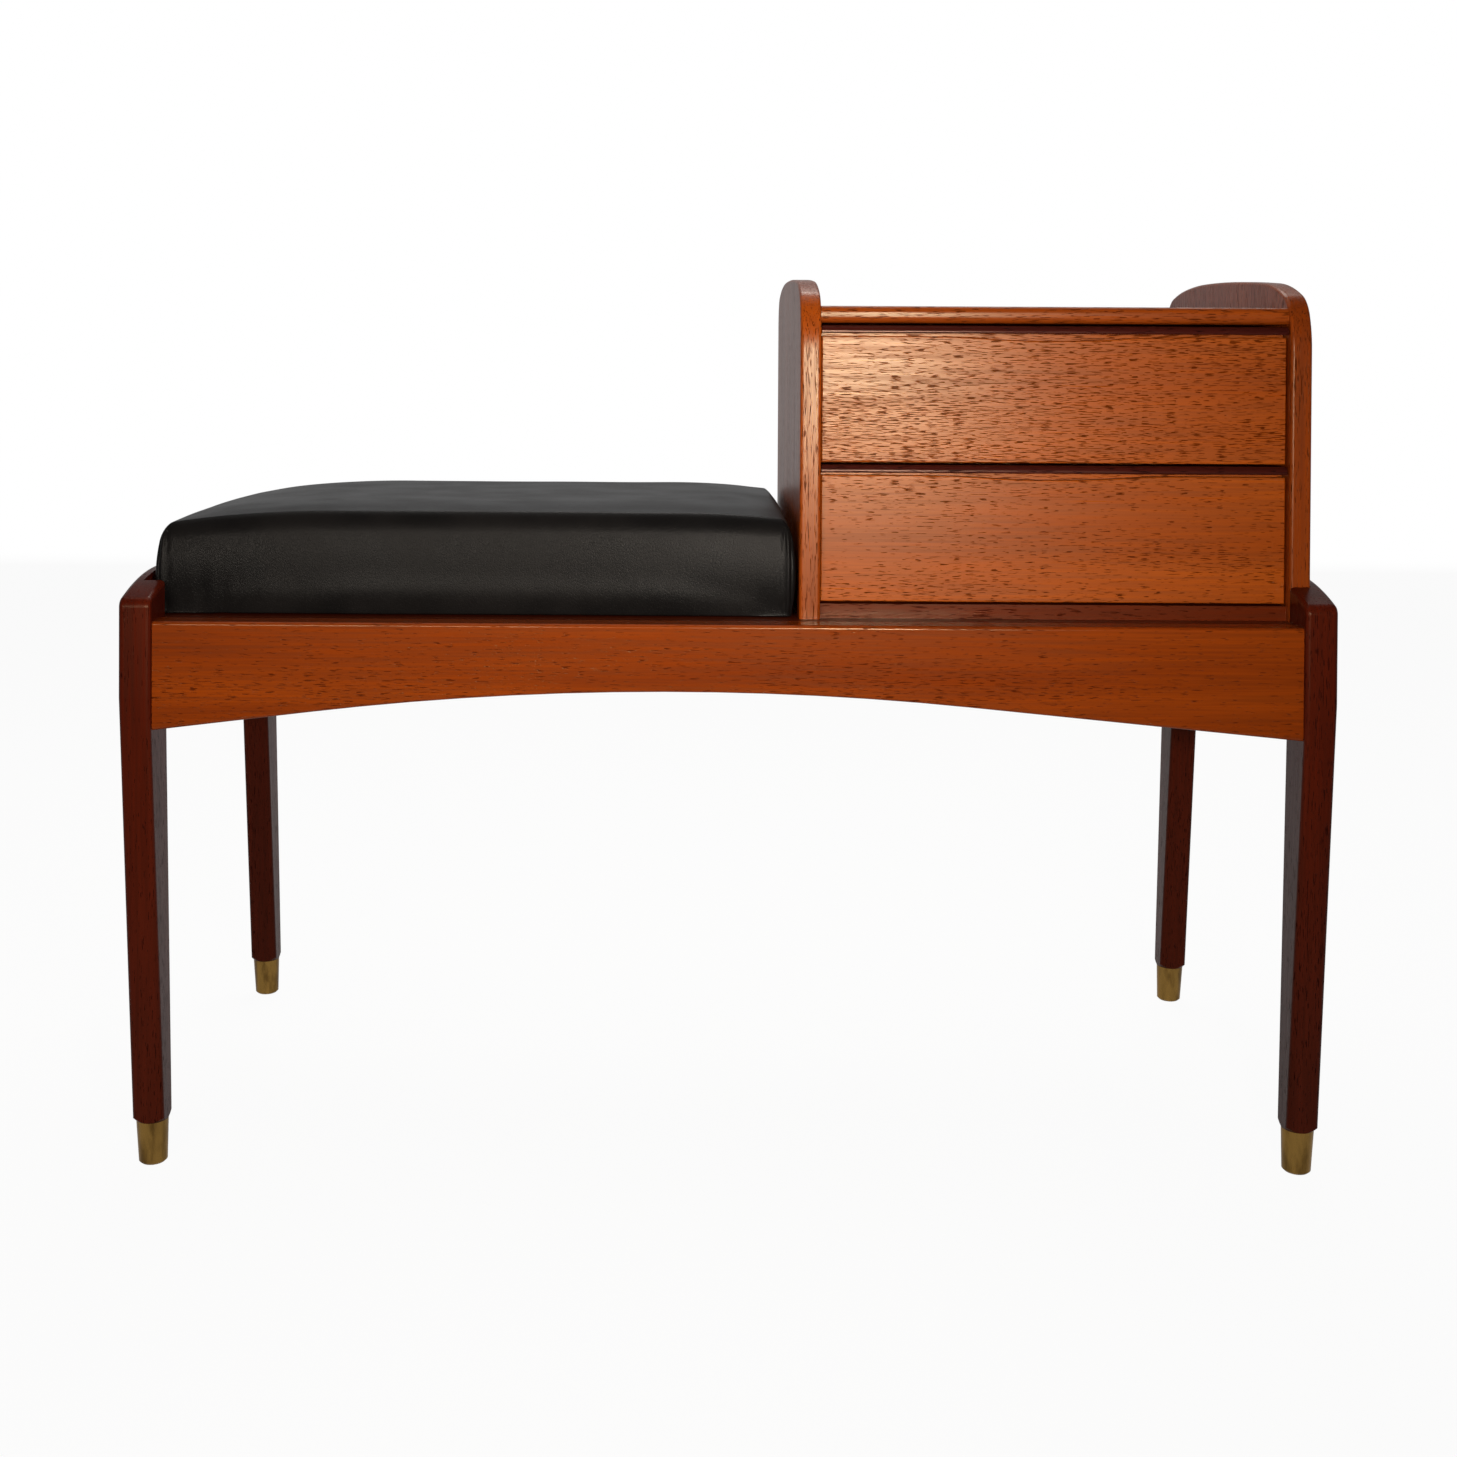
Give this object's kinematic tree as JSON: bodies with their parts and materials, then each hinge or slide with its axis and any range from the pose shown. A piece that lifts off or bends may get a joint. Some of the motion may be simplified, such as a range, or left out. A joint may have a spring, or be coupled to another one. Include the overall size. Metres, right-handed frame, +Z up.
{
  "type": "telephone bench",
  "caption": "Teak telephone bench: padded black seat beside a drawer box with a raised-sided tray top, on tapered legs with brass feet.",
  "frame": {"origin": "on the floor, under the middle of the bench", "axes": "+X to the right as seen from the front, +Y to the back, +Z up"},
  "size_m": [0.9, 0.395, 0.6732],
  "materials": {
    "leg_wood": "satin",
    "rail_teak": "satin",
    "box_teak": "satin",
    "drawer_teak": "satin",
    "dark_hardwood": "satin",
    "base_veneer": "satin",
    "inner_wood": "matte",
    "plywood": "matte",
    "black_leather": "satin",
    "foam": "matte",
    "brass": "satin",
    "steel": "satin"
  },
  "bodies": {
    "bench": {"front_left_leg": "leg_wood", "front_left_ferrule": "brass", "front_left_corner_block": "inner_wood", "front_right_leg": "leg_wood", "front_right_ferrule": "brass", "front_right_corner_block": "inner_wood", "rear_left_leg": "leg_wood", "rear_left_ferrule": "brass", "rear_left_corner_block": "inner_wood", "rear_right_leg": "leg_wood", "rear_right_ferrule": "brass", "rear_right_corner_block": "inner_wood", "left_end_rail": "leg_wood", "right_end_rail": "leg_wood", "front_rail": "rail_teak", "rear_rail": "rail_teak", "front_cleat": "inner_wood", "rear_cleat": "inner_wood", "base_panel": "base_veneer", "seat_board": "plywood", "seat_foam": "foam", "seat_cover": "black_leather", "left_side_panel": "box_teak", "right_side_panel": "box_teak", "top_panel": "box_teak", "bottom_panel": "box_teak", "back_panel": "plywood", "lower_left_runner": "inner_wood", "lower_right_runner": "inner_wood", "upper_left_runner": "inner_wood", "upper_right_runner": "inner_wood", "frame_dowels": "inner_wood", "box_dowels": "inner_wood", "corner_block_screws": "steel", "cleat_screws": "steel", "seat_screws": "steel", "box_screws": "steel", "runner_screws": "steel", "back_pins": "steel"},
    "lower_drawer": {"lower_drawer_front": "drawer_teak", "lower_drawer_lip": "dark_hardwood", "lower_drawer_left_side": "inner_wood", "lower_drawer_right_side": "inner_wood", "lower_drawer_back": "inner_wood", "lower_drawer_bottom": "plywood"},
    "upper_drawer": {"upper_drawer_front": "drawer_teak", "upper_drawer_lip": "dark_hardwood", "upper_drawer_left_side": "inner_wood", "upper_drawer_right_side": "inner_wood", "upper_drawer_back": "inner_wood", "upper_drawer_bottom": "plywood"}
  },
  "joints": [
    {"name": "lower_drawer_slide", "type": "slide", "parent": "bench", "child": "lower_drawer", "axis": [0, -1, 0], "range_m": [0, 0.25]},
    {"name": "upper_drawer_slide", "type": "slide", "parent": "bench", "child": "upper_drawer", "axis": [0, -1, 0], "range_m": [0, 0.25]}
  ]
}
